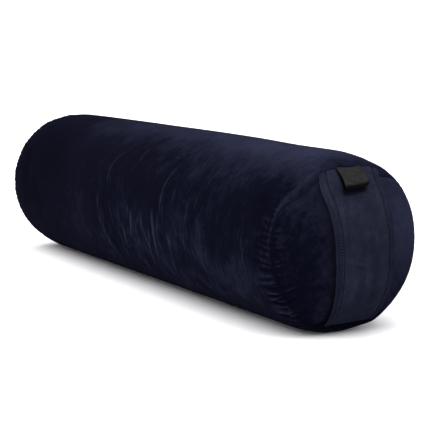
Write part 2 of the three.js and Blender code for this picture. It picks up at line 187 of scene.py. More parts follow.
# Broad patches, lighter or darker: the three over the top, near 80 degrees round, are a painted
# highlight where the light falls from above, and the rest the pile's own brushed tone: x, angle in
# degrees, tone, and how far it reaches along the tube and, in degrees, round it
PATCHES = [
    (100, -14, 0.02, 95, 24),
    (20, 38, -0.15, 90, 16),
    (245, -24, 0.2, 36, 16),
    (-30, 22, -0.15, 24, 26),
    (219, -9, 0.36, 12, 15),
    (-115, -10, 0.12, 26, 16),
    (-287, -18, 0.25, 12, 9),
    # These three, over the top, are a painted highlight of the light from above
    (245, 76, 0.68, 115, 34),
    (-10, 86, 0.56, 190, 28),
    (335, 86, 0.45, 50, 46),
    (-290, 30, -0.5, 110, 50),
    (325, 34, -0.42, 40, 22),
    (300, -22, 0.26, 32, 28),
    (350, -44, 0.35, 18, 16),
]

# Broad hollows and swellings where the filling has shifted: x, angle, height and reaches
LUMPS = [
    (-205, 20, -1.3, 75, 55),
    (-60, 150, -1.2, 80, 50),
    (60, -25, -1.6, 70, 40),
    (215, -18, 1.0, 34, 38),
    (245, 95, -1.0, 60, 60),
]


# Finishes: dark, middle and light pile, the tint of its sheen, and the thread and the ribbon
NAVY_PILE = (0.0009, 0.00085, 0.0024), (0.0018, 0.0019, 0.0049), (0.0125, 0.0140, 0.0275)
# The strap's pile is lighter than the rest: partly its own smoother pile and partly painted light from
# the side it faces
STRAP_PILE_AND_LIGHT = (0.003, 0.0032, 0.0068), (0.0075, 0.0084, 0.0160), (0.02, 0.022, 0.0375)
NAVY_SHEEN, STRAP_SHEEN = (0.5, 0.53, 0.95), (0.5, 0.53, 1.0)
THREAD_COLOUR = (0.010, 0.011, 0.022)
RIBBON_COLOURS = (0.001, 0.001, 0.001), (0.022, 0.022, 0.0214)

# The studio, in metres: the camera, and the floor's profile as distances out and heights
LENS, SENSOR_WIDTH = 119.66, 36
CAMERA_PLACE, CAMERA_AIM = (1.60067, -0.84212, 0.33627), (0.07246, 0, 0.09450)
FLOOR_SIDES = 96
FLOOR_PROFILE = [
    (0.5, 0), (1, 0), (2, 0), (3.5, 0), (5, 0), (6, 0.06), (7, 0.25), (7.8, 0.525), (8.4, 0.85),
    (8.8, 1.25), (9.0, 1.7), (9.1, 2.2),
]


# Small curves

def smooth(value, low, high):
    """0 below low, 1 above high, and 3t^2 - 2t^3 of the share t between them."""
    t = np.clip((value - low) / (high - low), 0, 1)
    return t * t * (3 - 2 * t)


def bell(value, width):
    """e to the minus (value / width) squared."""
    return np.exp(-((value / width) ** 2))


def wrapped(angle):
    """The same angle between -pi and pi."""
    return (angle + np.pi) % (2 * np.pi) - np.pi


def mixed(a, b, share):
    """a where the share is 0, b where it is 1, and in proportion between."""
    return a + (b - a) * share


def turn_bell(angle, middle, spread):
    """A bell round the axis about a middle angle, spread degrees wide each way."""
    return bell(np.degrees(wrapped(angle - middle)), spread)


def unit(arrows):
    """The same directions, each 1 long."""
    return arrows / np.linalg.norm(arrows, axis=-1, keepdims=True)


def ring_place(x, radius, angle):
    """Places at distances along and from the axis, turned by the angle."""
    return np.stack([x, -radius * np.cos(angle), radius * np.sin(angle)], -1)


def round_angles(count):
    """Evenly spaced angles for a whole turn from straight down."""
    return -np.pi / 2 + 2 * np.pi * np.arange(count) / count


def stations(places, pitches):
    """Places along a line whose pitch follows the given pitches: where the running integral of
    1 / pitch takes whole numbers."""
    line = np.linspace(places[0], places[-1], 4000)
    density = 1 / np.interp(line, places, pitches)
    count = np.concatenate([[0], np.cumsum((density[1:] + density[:-1]) / 2 * np.diff(line))])
    return np.interp(np.linspace(0, count[-1], int(round(count[-1])) + 1), count, line)


def smooth_line(at, places, values):
    """A curve through the values with no corners, a cubic between each two places whose slope
    at a place is the slope from the place before to the place after. Values may be rows."""
    slopes = np.gradient(values, places, axis=0)
    k = np.clip(np.searchsorted(places, at) - 1, 0, len(places) - 2)
    step = places[k + 1] - places[k]
    t = np.clip((at - places[k]) / step, 0, 1)
    if values.ndim > at.ndim:
        step, t = step[:, None], t[:, None]
    start = (1 + 2 * t) * (1 - t) ** 2 * values[k] + t * (1 - t) ** 2 * step * slopes[k]
    return start + t * t * (3 - 2 * t) * values[k + 1] + t * t * (t - 1) * step * slopes[k + 1]


# The tube and its end panels

def strap_seat(angle):
    """Where a place on the near seam is from the nearer strap end, in degrees: turned from
    straight up or down along the strap, off from the end's middle, whether that is the upper
    end, and how firmly the end holds the seam, from 1 to 0."""
    lean = angle + STRAP_TURN
    from_upper = np.degrees(wrapped(lean - np.pi / 2))
    from_lower = np.degrees(wrapped(lean + np.pi / 2))
    upper = np.abs(from_upper) < np.abs(from_lower)
    turned = np.where(upper, from_upper, from_lower)
    off = turned - np.where(upper, UPPER_SEAT["middle"], LOWER_SEAT["middle"])
    slack = np.where(upper & (off < 0), UPPER_SEAT["slack"], 0)
    hold = np.where(upper, UPPER_SEAT["hold"], LOWER_SEAT["hold"]) + slack
    return turned, off, upper, 1 - smooth(np.abs(off), hold, hold + SEAT_FADE + slack)


def upper_pull(off):
    """How far the strap's upper end draws the seam in: more towards its -Y side, and in a dip
    under the label."""
    furthest = -1 - UPPER_SEAT["slack"] / UPPER_SEAT["hold"]
    level = UPPER_SEAT["pull"] - UPPER_SEAT["lean"] * np.clip(off / UPPER_SEAT["hold"], furthest, 1)
    return level + UPPER_SEAT["dip"] * bell(off, UPPER_SEAT["spread"])


def edge_radius(angle, side, filling):
    """The radius of the seam's line: a circle with slow waves of half a millimetre, drawn in by
    the strap's two ends. The upper end follows a circle and the lower end a straight line."""
    (slow, slow_turns), (quick, quick_turns) = SEAM_WAVES
    waves = slow * np.sin(slow_turns * angle + side) + quick * np.sin(quick_turns * angle + 2)
    free = SEAM_RADIUS + waves
    if side < 0:
        return free
    turned, off, upper, held = strap_seat(angle)
    round_line = SEAM_RADIUS - upper_pull(off) - filling
    level = SEAM_RADIUS - LOWER_SEAT["pull"] - filling
    straight_line = level / np.cos(np.radians(np.clip(turned, -60, 60)))
    line = np.where(upper, round_line, straight_line)
    return mixed(free, np.minimum(line, free), held)


def gather_table(seed, side):
    """The pleats round one seam: where each stands, its depth and width, its reach on the tube
    and the panel, and its lean. Deepest low on the -Y side, and faint over the top."""
    rng = np.random.default_rng(seed)
    pitch = 2 * np.pi / GATHERS
    angle = wrapped((np.arange(GATHERS) + rng.uniform(-0.3, 0.3, GATHERS)) * pitch)
    low_front = turn_bell(angle, -0.55, 38)
    even = 0.62 + 0.2 * np.sin(2 * angle + 1)
    strength = 0.16 + 0.95 * low_front if side > 0 else 0.65 * even
    if side > 0:
        strength = strength * (1 - 0.9 * strap_seat(angle)[-1])
    return {
        "angle": angle,
        "depth": strength * rng.uniform(0.55, 1.15, GATHERS),
        "width": rng.uniform(0.9, 1.6, GATHERS),
        "tube_reach": rng.uniform(16, 34, GATHERS),
        "panel_reach": rng.uniform(8, 24, GATHERS),
        "lean": rng.normal(0, 0.14, GATHERS),
    }


def gather_fields(table, reach, angle, from_seam):
    """How far the skin sinks into its pleats, at most about 1, and the painted shading over them.
    Each is a narrow valley, e to the minus |distance / width| ^ 1.4, less than half deep on the
    seam, full a little away and gone at its reach. Painted shade lies in the valley and a painted
    highlight on the ridge beside it."""
    angle = angle[..., None]
    away = from_seam[..., None]
    across = SEAM_RADIUS * wrapped(angle - table["angle"]) - table["lean"] * away
    width = table["width"] * (1 + away / 40)
    opening = mixed(GATHER_SEAM_DEPTH, 1, smooth(away, 0, GATHER_OPENS))
    along = opening * (1 - smooth(away, 0.35 * table[reach], table[reach]))
    valley = np.exp(-np.abs(across / width) ** 1.4)
    ridge = bell(across - 2.2 * width, 0.9 * width)
    here = table["depth"] * along
    return np.sum(here * valley, axis=-1), np.sum(here * (0.8 * ridge - valley), axis=-1)


def crease_fields(x, angle):
    """The creases' fold and their shine, partly the crushed pile's own lighter tone and partly a
    painted highlight. A line's place along the tube is a smooth curve of the angle. Its fold is a
    ridge with a hollow beside it, and it tapers to nothing at both ends."""
    degrees = np.degrees(angle)
    fold, shine = np.zeros(x.shape), np.zeros(x.shape)
    for crease_pile_and_highlight, depth, places in CREASES:
        line = np.array(places, float)[::-1]
        share = (degrees - line[0, 1]) / (line[-1, 1] - line[0, 1])
        taper = np.sin(np.pi * np.clip(share, 0, 1)) ** 0.7
        across = x - smooth_line(degrees, line[:, 1], line[:, 0])
        hollow = HOLLOW_DEPTH * bell(across - HOLLOW_BESIDE, HOLLOW_WIDTH)
        fold += depth * taper * (RIDGE_HEIGHT * bell(across, RIDGE_WIDTH) - hollow)
        shine += crease_pile_and_highlight * taper * bell(across, SHINE_WIDTH)
    return fold, shine


def streak_fields(x, angle, seed=5, count=150):
    """Short fine streaks in the crushed pile of the crease zone, each a bell across x and a bell
    along the angle, a little tilted."""
    rng = np.random.default_rng(seed)
    degrees = np.degrees(angle)
    fold, shine = np.zeros(x.shape), np.zeros(x.shape)
    for _ in range(count):
        place, middle = rng.uniform(-60, 235), rng.normal(-12, 16)
        length, tilt = rng.uniform(3, 9), rng.normal(0, 0.3)
        light = rng.uniform(0.08, 0.45)
        across = x - place - tilt * (degrees - middle)
        here = bell(degrees - middle, length)
        shine += light * here * bell(across, 1.7)
        fold -= 0.5 * light * here * bell(across - 2.2, 2.2)
    return fold, shine


def patches(x, angle, table):
    """The sum of the table's patches, each a bell along the tube times a bell round it."""
    total = np.zeros(x.shape)
    for place, turn, size, length, spread in table:
        total += size * bell(x - place, length) * turn_bell(angle, np.radians(turn), spread)
    return total


def pressed_share(angle):
    """From 0 to 1 towards the underside that the ground presses flat."""
    return smooth(-np.sin(angle), FOOT_FROM, FOOT_FULL)


def filled_tube(x, angle):
    """The tube's radius before its small pleats and creases: crowned, with slow lumps, it runs
    into the drawn-in shoulder and pinches in at the seam."""
    from_seam = HALF_LENGTH - np.abs(x)
    pressed = pressed_share(angle)
    tube = BODY_RADIUS - CROWN * (1 - pressed) * (x / HALF_LENGTH) ** 2
    near = np.clip(1 - from_seam / SHOULDER_LENGTH, 0, None) ** SHOULDER_POWER
    seam = np.where(x < 0, edge_radius(angle, -1, 0), edge_radius(angle, 1, 0))
    radius = mixed(tube, SHOULDER_RADIUS, near) - SEAM_PINCH * np.exp(-from_seam / PINCH_REACH)
    radius -= (SEAM_RADIUS - seam) * np.exp(-from_seam / PULL_REACH)
    return radius + patches(x, angle, LUMPS) * (1 - near) * (1 - pressed)


def round_place(x, angle, radius):
    """Places round the axis, cut off flat underneath by the ground."""
    from_seam = HALF_LENGTH - np.abs(x)
    foot = FOOT_DEPTH - BODY_RADIUS + FOOT_RISE * np.clip(1 - from_seam / FOOT_END, 0, None)
    return np.stack([x, -radius * np.cos(angle), np.maximum(radius * np.sin(angle), foot)], -1)


def tube_points(x, angle, gathers, settled):
    """The tube's skin: the filled tube, moved as its cloth has settled, rolls in at the thread
    and sinks into the pleats and creases. Its tone adds up the patches, those over the top a painted
    highlight, the pleats' painted shading and the creases' shine, partly crushed pile and partly a
    painted highlight, with a painted highlight along the near seam on the -Y side, and painted shade
    in the dip over the label and underneath."""
    from_seam = HALF_LENGTH - np.abs(x)
    radius = filled_tube(x, angle) - SEAM_ROLL * np.exp(-from_seam / ROLL_REACH)
    pile_and_shading = patches(x, angle, PATCHES)
    for which, table in gathers.items():
        rows = (np.sign(x[:, 0]) == which) & (from_seam[:, 0] < GATHER_LIMIT)
        sunk, tone = gather_fields(table, "tube_reach", angle[rows], from_seam[rows])
        radius[rows] -= TUBE_GATHER_DEPTH * sunk
        pile_and_shading[rows] += TUBE_GATHER_SHADING * tone
    crease_fold, crease_pile_and_highlight = crease_fields(x, angle)
    streak_fold, streak_shine = streak_fields(x, angle)
    free = smooth(from_seam, 0, SHOULDER_LENGTH) * (1 - pressed_share(angle))
    radius += (crease_fold + streak_fold) * free
    pile_and_shading += crease_pile_and_highlight + streak_shine
    # Painted highlight where the near seam's roll catches the light; painted shade in the dip over the
    # label and along the underside
    pile_and_shading += TUBE_SEAM_PAINTED_HIGHLIGHT * bell(from_seam - 1.4, 1.6) * (x > 0) * turn_bell(angle, 0.6, 36)
    pile_and_shading -= TUBE_DIP_PAINTED_SHADE * bell(from_seam, 9) * (x > 0) * turn_bell(angle, 1.5, 15)
    pile_and_shading -= TUBE_FOOT_PAINTED_SHADE * smooth(-np.sin(angle), 0.72, 0.95)
    return round_place(x, angle, radius + settled), pile_and_shading


def dome_out(share, edge):
    """How far the panel stands out of the seam plane at a share of its edge's radius: a dome,
    1 - share to a power, with a swelling just inside the seam."""
    inward = edge * (1 - share)
    puff = PANEL_PUFF * (1 - np.exp(-inward / PUFF_RISE)) * np.exp(-inward / PUFF_REACH)
    return DOME_HEIGHT * (1 - share ** DOME_POWER) + puff


def panel_points(share, angle, side, gathers, settled):
    """An end panel's skin: rings that shrink to the pole, standing out by dome_out, and moved as
    the cloth has settled. It sinks into the pleats and rolls in at the thread."""
    edge = edge_radius(angle, side, SEAM_FILLING)
    inward = edge * (1 - share)
    sunk, tone = gather_fields(gathers, "panel_reach", angle, inward)
    sunk = PANEL_GATHER_DEPTH * sunk
    radius = edge * share - SEAM_ROLL * np.exp(-inward / ROLL_REACH) - 0.5 * sunk
    out = dome_out(share, edge) + settled - 0.85 * sunk * smooth(inward, 0, 4)
    # The panel's tone is painted light and shade, with the pleats' painted shading over it
    pile_and_shading = panel_tone_and_shading(radius, inward, angle, side) + PANEL_GATHER_SHADING * tone
    return ring_place(side * out, radius, angle), pile_and_shading


def panel_tone_and_shading(radius, inward, angle, side):
    """Tone of a panel, nearly all painted light and shade: the near panel a little lighter overall,
    painted shade low on the -Y side and along the seam there, and painted light on the near panel's
    +Y side, towards its top and beside the strap."""
    low_front = turn_bell(angle, -0.6, 60) * smooth(radius, 20, 80)
    if side < 0:
        return -FAR_PANEL_LOW_FRONT_SHADE * low_front
    back = turn_bell(angle, 2.75, 50) * smooth(radius, 20, 60)
    beside_strap = bell(radius * np.cos(angle) - 34, 12)
    top = turn_bell(angle, 1.0, 40) * smooth(radius, 20, 80)
    seam_shade = turn_bell(angle, -0.6, 55) * bell(inward - 1, 4)
    tones = PANEL_LIGHT_AND_SHADE
    lighter = tones["top"] * top + tones["back"] * back + tones["beside_strap"] * beside_strap
    return tones["ground"] + lighter - tones["low_front"] * low_front - tones["seam"] * seam_shade


# The filling's pressure, by cloth simulation

def pressed_out(rings, held):
    """Where a closed skin of rings comes to rest as cloth, after some frames of the filling's
    pressure with the held places fixed. The simulated mesh is read and then removed."""
    points = np.concatenate([rings.reshape(-1, 3), [rings[0].mean(0), rings[-1].mean(0)]])
    fixed = np.concatenate([held.ravel(), [held[0].all(), held[-1].all()]])
    plain = bpy.data.materials.new("settling_skin")
    skin = mesh_object("settling_skin", points, ring_faces([rings.shape[1]] * len(rings)), plain)
    group = skin.vertex_groups.new(name="held")
    group.add(np.flatnonzero(fixed).tolist(), 1.0, "REPLACE")
    cloth = skin.modifiers.new("filling", "CLOTH")
    cloth.settings.quality = CLOTH_QUALITY
    cloth.settings.use_pressure = True
    cloth.settings.uniform_pressure_force = CLOTH_PRESSURE
    cloth.settings.shrink_min = -CLOTH_EASE
    cloth.settings.vertex_group_mass = "held"
    cloth.settings.effector_weights.gravity = 0
    cloth.point_cache.frame_start, cloth.point_cache.frame_end = 1, CLOTH_FRAMES
    scene = bpy.context.scene
    for moment in range(1, CLOTH_FRAMES + 1):
        scene.frame_set(moment)
    evaluated = skin.evaluated_get(bpy.context.evaluated_depsgraph_get())
    rest = np.zeros(len(points) * 3, np.float32)
    evaluated.data.vertices.foreach_get("co", rest)
    scene.frame_set(1)
    mesh = skin.data
    bpy.data.objects.remove(skin)
    bpy.data.meshes.remove(mesh)
    bpy.data.materials.remove(plain)
    return rest.reshape(-1, 3)[:-2].reshape(rings.shape) / MM


def settling(rings, held, outward):
    """How far the cloth of the rings moves outwards, eased towards the cap by its hyperbolic
    tangent and evened once with the neighbours on all sides."""
    moved = np.sum((pressed_out(rings, held) - rings) * outward, -1)
    moved = CLOTH_CAP * np.tanh(moved / CLOTH_CAP)
    moved = (np.roll(moved, 1, 1) + 2 * moved + np.roll(moved, -1, 1)) / 4
    moved[1:-1] = (moved[:-2] + 2 * moved[1:-1] + moved[2:]) / 4
    return moved


def coarse_grid(line):
    """The line's places by evenly spaced angles, coarse enough to simulate."""
    return np.meshgrid(line, round_angles(CLOTH_AROUND), indexing="ij")


def tube_settling():
    """The tube's cloth starts a little slimmer and swells against its seams and its flat foot:
    the places along x, and how far each moves along its radius."""
    x_line = np.linspace(-HALF_LENGTH, HALF_LENGTH, CLOTH_ROWS)
    x, angle = coarse_grid(x_line)
    held = (HALF_LENGTH - np.abs(x) < TUBE_HELD) | (pressed_share(angle) > 0.5)
    start = round_place(x, angle, filled_tube(x, angle) - np.where(held, 0, CLOTH_START))
    moved = settling(start, held, ring_place(0 * x, 1, angle))
    return x_line, moved - np.where(held, 0, CLOTH_START)


def panel_settling(side):
    """The same for an end panel held in its seam: its shares of the radius, and how far each
    place moves out of the seam plane."""
    share_line = np.linspace(PANEL_CLOTH_FROM, 1, PANEL_CLOTH_ROWS)
    share, angle = coarse_grid(share_line)
    edge = edge_radius(angle, side, SEAM_FILLING)
    start = ring_place(side * dome_out(share, edge), edge * share, angle)
    held = edge * (1 - share) < PANEL_HELD
    outward = np.array([side, 0.0, 0.0])
    if side < 0:
        return share_line, settling(start, held, outward)
    return share_line, settling(start[::-1], held[::-1], outward)[::-1]


def resampled(values, places, at, angles):
    """Rings of evenly spaced values at new places and new angles, by cubics both ways."""
    rings = smooth_line(at, places, values)
    spread = np.arange(-2, rings.shape[1] + 3)
    turned = -np.pi / 2 + 2 * np.pi * spread / rings.shape[1]
    return smooth_line(angles, turned, np.take(rings, spread, axis=1, mode="wrap").T).T


# Meshes

def placed(name, data, towards=None):
    """A new object in the scene, looking that way if it is a camera or a light."""
    made = bpy.data.objects.new(name, data)
    bpy.context.scene.collection.objects.link(made)
    if towards is not None:
        made.rotation_euler = towards.to_track_quat("-Z", "Y").to_euler()
    return made


def mesh_object(name, points, faces, material, pile_and_shading=None, uv=None):
    """A piece from points in millimetres in the row frame and faces of four points each, where a
    triangle repeats its last point. Its tone, a number for each point, holds the pile's tone with
    painted light and shade; uv is a pair for each corner."""
    mesh = bpy.data.meshes.new(name)
    faces = np.asarray(faces)
    triangle = faces[:, 2] == faces[:, 3]
    sizes = np.where(triangle, 3, 4)
    keep = np.ones(faces.shape, bool)
    keep[triangle, 3] = False
    corners = faces[keep]
    mesh.vertices.add(len(points))
    mesh.vertices.foreach_set("co", (np.asarray(points) * MM).astype(np.float32).ravel())
    mesh.loops.add(len(corners))
    mesh.loops.foreach_set("vertex_index", corners.astype(np.int32))
    mesh.polygons.add(len(faces))
    mesh.polygons.foreach_set("loop_start", (np.cumsum(sizes) - sizes).astype(np.int32))
    mesh.polygons.foreach_set("loop_total", sizes.astype(np.int32))
    mesh.update(calc_edges=True)
    mesh.polygons.foreach_set("use_smooth", np.ones(len(faces), bool))
    if pile_and_shading is not None:
        tone = mesh.attributes.new("pile_and_shading", "FLOAT", "POINT")
        tone.data.foreach_set("value", pile_and_shading.astype(np.float32).ravel())
    if uv is not None:
        layer = mesh.uv_layers.new(name="cloth")
        layer.data.foreach_set("uv", (np.asarray(uv)[keep] * MM).astype(np.float32).ravel())
    mesh.materials.append(material)
    return placed(name, mesh)


def ring_faces(counts, poles=True):
    """Faces between rings that follow each other towards +X, each closed on itself, with as many
    points as the next ring, half or double. With poles, the point after the last ring closes the
    first one and the point after that the last one."""
    starts = np.concatenate([[0], np.cumsum(counts)])
    faces = []
    for a, b, here, ahead in zip(starts[:-2], starts[1:-1], counts[:-1], counts[1:]):
        most = max(here, ahead)
        j = np.arange(most)
        k = (j + 1) % most
        j_here, k_here, j_ahead, k_ahead = (v * n // most for n in (here, ahead) for v in (j, k))
        quads = np.stack([a + j_here, b + j_ahead, b + k_ahead, a + k_here], -1)
        quads[j_here == k_here, 3] = quads[j_here == k_here, 2]
        quads[j_ahead == k_ahead, 2] = quads[j_ahead == k_ahead, 3]
        faces.append(quads)
    if poles:
        first, last = np.arange(counts[0]), starts[-2] + np.arange(counts[-1])
        after_first, after_last = np.roll(first, -1), np.roll(last, -1)
        faces.append(np.stack([0 * first + starts[-1], first, after_first, after_first], -1))
        faces.append(np.stack([0 * last + starts[-1] + 1, after_last, last, last], -1))
    return np.concatenate(faces)


def closed_rings(name, counts, points, pile_and_shading, start_middle, end_middle, material, turned=False):
    """A closed skin of rings with a pole at each end, turned if the rings run the other way
    round. points and the tone of pile with painted light and shade are in ring order."""
    points = np.concatenate([points, [start_middle, end_middle]]) + AXIS
    faces = turned_round(ring_faces(counts)) if turned else ring_faces(counts)
    return mesh_object(name, points, faces, material, np.concatenate([pile_and_shading, [0, 0]]))


def make_tube(gathers, material):
    """The tube as closed rings along x, with half as many points between its ends. The cloth's
    settling is read at each of its points."""
    places = np.clip(stations(TUBE_PLACES, TUBE_PITCHES), -HALF_LENGTH, HALF_LENGTH)
    x_line, moved = tube_settling()
    counts, points, pile_and_shading = [], [], []
    far, near = places < -FINE_FROM, places > FINE_FROM
    for part, count in ((far, AROUND), (~far & ~near, AROUND // 2), (near, AROUND)):
        x, angle = np.meshgrid(places[part], round_angles(count), indexing="ij")
        settled = resampled(moved, x_line, x[:, 0], angle[0])
        rings, tone = tube_points(x, angle, gathers, settled)
        counts += [count] * len(x)
        points.append(rings.reshape(-1, 3))
        pile_and_shading.append(tone.ravel())
    points, pile_and_shading = np.concatenate(points), np.concatenate(pile_and_shading)
    ends = [-HALF_LENGTH, 0, 0], [HALF_LENGTH, 0, 0]
    return closed_rings("velvet_tube", counts, points, pile_and_shading, *ends, material)


def make_panel(name, side, gathers, material):
    """An end panel as rings from its edge to its apex, closed behind by a flat disc. side is 1
    for the near one and -1 for the far one."""
    inward = stations(PANEL_PLACES, PANEL_PITCHES)
    share, angle = np.meshgrid(1 - inward / SEAM_RADIUS, round_angles(AROUND), indexing="ij")
    share_line, moved = panel_settling(side)
    settled = resampled(moved, share_line, share[:, 0], angle[0])
    rings, pile_and_shading = panel_points(share, angle, side, gathers, settled)
    middle, apex = np.zeros(3), np.array([side * dome_out(0, SEAM_RADIUS), 0, 0])
    if side < 0:
        rings, pile_and_shading, middle, apex = rings[::-1], pile_and_shading[::-1], apex, middle
    place = np.array([side * (HALF_LENGTH + MEETING_GAP), 0, 0])
    counts = [AROUND] * len(rings)
    points = rings.reshape(-1, 3) + place
    return closed_rings(name, counts, points, pile_and_shading.ravel(), middle + place, apex + place, material)


# The strap and the label

def strap_shift(w):
    """How far the strap has moved along Y: sharply at its upper end and gently at its foot."""
    return STRAP_TOP_SHIFT * smooth(w, STRAP_TOP_BEND, 1) + STRAP_FOOT_SHIFT * smooth(-w, 0, 1)


def strap_y(u, w):
    """Where the strap's u across it lies along Y: its width runs from its foot's to its own."""
    return u * mixed(STRAP_FOOT_WIDTH, STRAP_WIDTH, smooth(w, -1, 0)) / 2 + strap_shift(w)


def strap_inner(u, w):
    """The strap's inner face, at u from -1 to 1 across it and w from -1 to 1 up it: in side view
    a flattened arch, (1 - |sin| ^ power) ^ (1 / bend), that leaves the seam square to its plane."""
    y = strap_y(u, w)
    s = np.sin(w * np.pi / 2)
    arch = np.clip(1 - np.abs(s) ** STRAP_POWER, 0, None) ** (1 / STRAP_BEND)
    out = (STRAP_REACH - STRAP_SIDE_DROP * u ** 2) * arch
    level = SEAM_RADIUS - SEAM_FILLING + STRAP_CLEARANCE
    turned = np.degrees(np.arcsin(np.clip(y / (level - UPPER_SEAT["pull"]), -1, 1)))
    upper = np.sqrt((level - upper_pull(turned - UPPER_SEAT["middle"])) ** 2 - y ** 2)
    return np.stack([out, y, s * np.where(w > 0, upper, level - LOWER_SEAT["pull"])], -1)


def strap_lifted(u, w, lift):
    """A place at a distance off the strap's inner face, along the face's own normal."""
    h = 0.01
    across = strap_inner(u + h, w) - strap_inner(u - h, w)
    up = strap_inner(u, np.minimum(w + h, 1)) - strap_inner(u, np.maximum(w - h, -1))
    return strap_inner(u, w) + unit(np.cross(across, up)) * lift[..., None]


def handle_place(points):
    """From the strap's own frame to the bolster's axis: turned about x, at the near seam."""
    cos, sin = np.cos(STRAP_TURN), np.sin(STRAP_TURN)
    x, y, z = np.moveaxis(points, -1, 0)
    return np.stack([x + HALF_LENGTH + MEETING_GAP, y * cos - z * sin, y * sin + z * cos], -1)


def rounded_edge(inset):
    """A quarter round over the first millimetres in from the strap's edge, from 0 to 1."""
    return np.sqrt(np.clip(1 - (1 - np.clip(inset / STRAP_EDGE_ROUND, 0, 1)) ** 2, 0, 1))


def strap_waves(u, w):
    """Long soft waves down the strap's lower half: a sine across it under two bells."""
    return np.sin(13 * u + 3 * w + 1) * bell(u - 0.15, 0.45) * bell(w + 0.3, 0.3)


def strap_crease(u, w):
    """A short crease across the strap just below its middle: a ridge with a hollow under it."""
    across = w + 0.125 + 0.1 * u
    return (bell(across, 0.012) - 0.7 * bell(across + 0.03, 0.016)) * bell(u + 0.2, 0.22)


def strap_skin(inset, u, w):
    """The strap's half thickness on its outer side: a rolled edge and a puffed border, less the
    dip of the stitched line, with soft waves, two short creases and a pucker at each stitch."""
    rise = STRAP_RELIEF
    border = rise["border"] * bell(inset - 4.3, 2.2)
    dip = rise["dip"] * bell(inset - STITCH_INSET, 1.0)
    folds = rise["waves"] * strap_waves(u, w) + rise["crease"] * strap_crease(u, w)
    folds += rise["low_crease"] * bell(w + 0.3 * (u + 0.6) + 0.42, 0.02) * bell(u + 0.22, 0.2)
    pucker = rise["pucker"] * np.sin(150 * w + 4 * np.sin(11 * w)) * bell(inset - STITCH_INSET, 3.5)
    return rounded_edge(inset) * (STRAP_THICKNESS / 2 + border) - dip + folds + pucker


def strap_pile_and_shading(u, w, inset, run):
    """Tone of the strap's outer face: lighter towards its head and darker over its borders, with
    painted highlights along their edge and on a thin line each side of the stitching, painted shade
    in the stitched line, the label's painted shadow below its fold, and painted shading that follows
    the waves and the crease. run is the way down from the strap's head."""
    tones = STRAP_TONES_AND_SHADING
    upper_border = tones["back_border"] * smooth(u, -0.5, 0.5)
    border = smooth(inset, 8.5, 7) * mixed(tones["front_border"], upper_border, smooth(w, 0.1, 0.7))
    lines = tones["edge"] * bell(inset, 1.0) + tones["inner_line"] * bell(inset - 6.1, 0.8)
    lines += tones["outer_line"] * bell(inset - 10.5, 1.3)
    stitched = tones["stitched"] * bell(inset - STITCH_INSET, 1.2)
    off = strap_y(u, w) - label_middle(run)
    under = bell(run - label_hang(off) - LABEL_SHADE_AT, LABEL_SHADE_REACH)
    shade = tones["label_shade"] * under * smooth(LABEL_WIDTH / 2 + 1 - np.abs(off), 0, 3)
    folds = tones["waves"] * strap_waves(u, w) + tones["crease"] * strap_crease(u, w)
    head = tones["ground"] + tones["head"] * smooth(w, -0.4, 0.9)
    return head - border + lines - stitched - shade + folds


def label_middle(run):
    """Where the label's middle lies along Y, this far down from the strap's head."""
    return LABEL_OFFSET + LABEL_SWING * run / LABEL_LENGTH


def label_hang(off):
    """How far down the label's leaves reach, this far to the side of its middle."""
    return (LABEL_LENGTH - LABEL_LOOP_SHORTER) * (1 - LABEL_SKEW * 2 * off / LABEL_WIDTH)


def strap_rings():
    """The strap as closed loops from foot to head, the outer skin and then the inner one, with
    the tone of each place, mostly painted light and shade."""
    half = stations([0, 3, 12, 36], [0.35, 0.8, 0.8, 2.6]) / 36
    front = np.concatenate([half - 1, (1 - half)[::-1][1:]])
    back = front[::-3][1:-1]
    rows = np.linspace(-1, 1, STRAP_ROWS)
    w, u = np.meshgrid(rows, front, indexing="ij")
    inset = STRAP_WIDTH / 2 * (1 - np.abs(u))
    outer = strap_lifted(u, w, STRAP_THICKNESS / 2 + strap_skin(inset, u, w))
    steps = np.linalg.norm(np.diff(outer[::-1], axis=0), axis=-1)
    run = np.concatenate([np.zeros((1, len(front))), np.cumsum(steps, axis=0)])[::-1]
    pile_and_shading = strap_pile_and_shading(u, w, inset, run)
    w, u = np.meshgrid(rows, back, indexing="ij")
    inset = STRAP_WIDTH / 2 * (1 - np.abs(u))
    inner = strap_lifted(u, w, STRAP_THICKNESS / 2 * (1 - rounded_edge(inset)))
    pile_and_shading = np.concatenate([pile_and_shading, np.zeros(u.shape)], 1)
    return handle_place(np.concatenate([outer, inner], 1)), pile_and_shading


def make_strap(material):
    """The strap as one closed skin, its two ends closed inside the seam."""
    rings, pile_and_shading = strap_rings()
    counts = [rings.shape[1]] * len(rings)
    return closed_rings("carrying_strap_velvet", counts, rings.reshape(-1, 3), pile_and_shading.ravel(),
                        rings[0].mean(0), rings[-1].mean(0), material, turned=True)


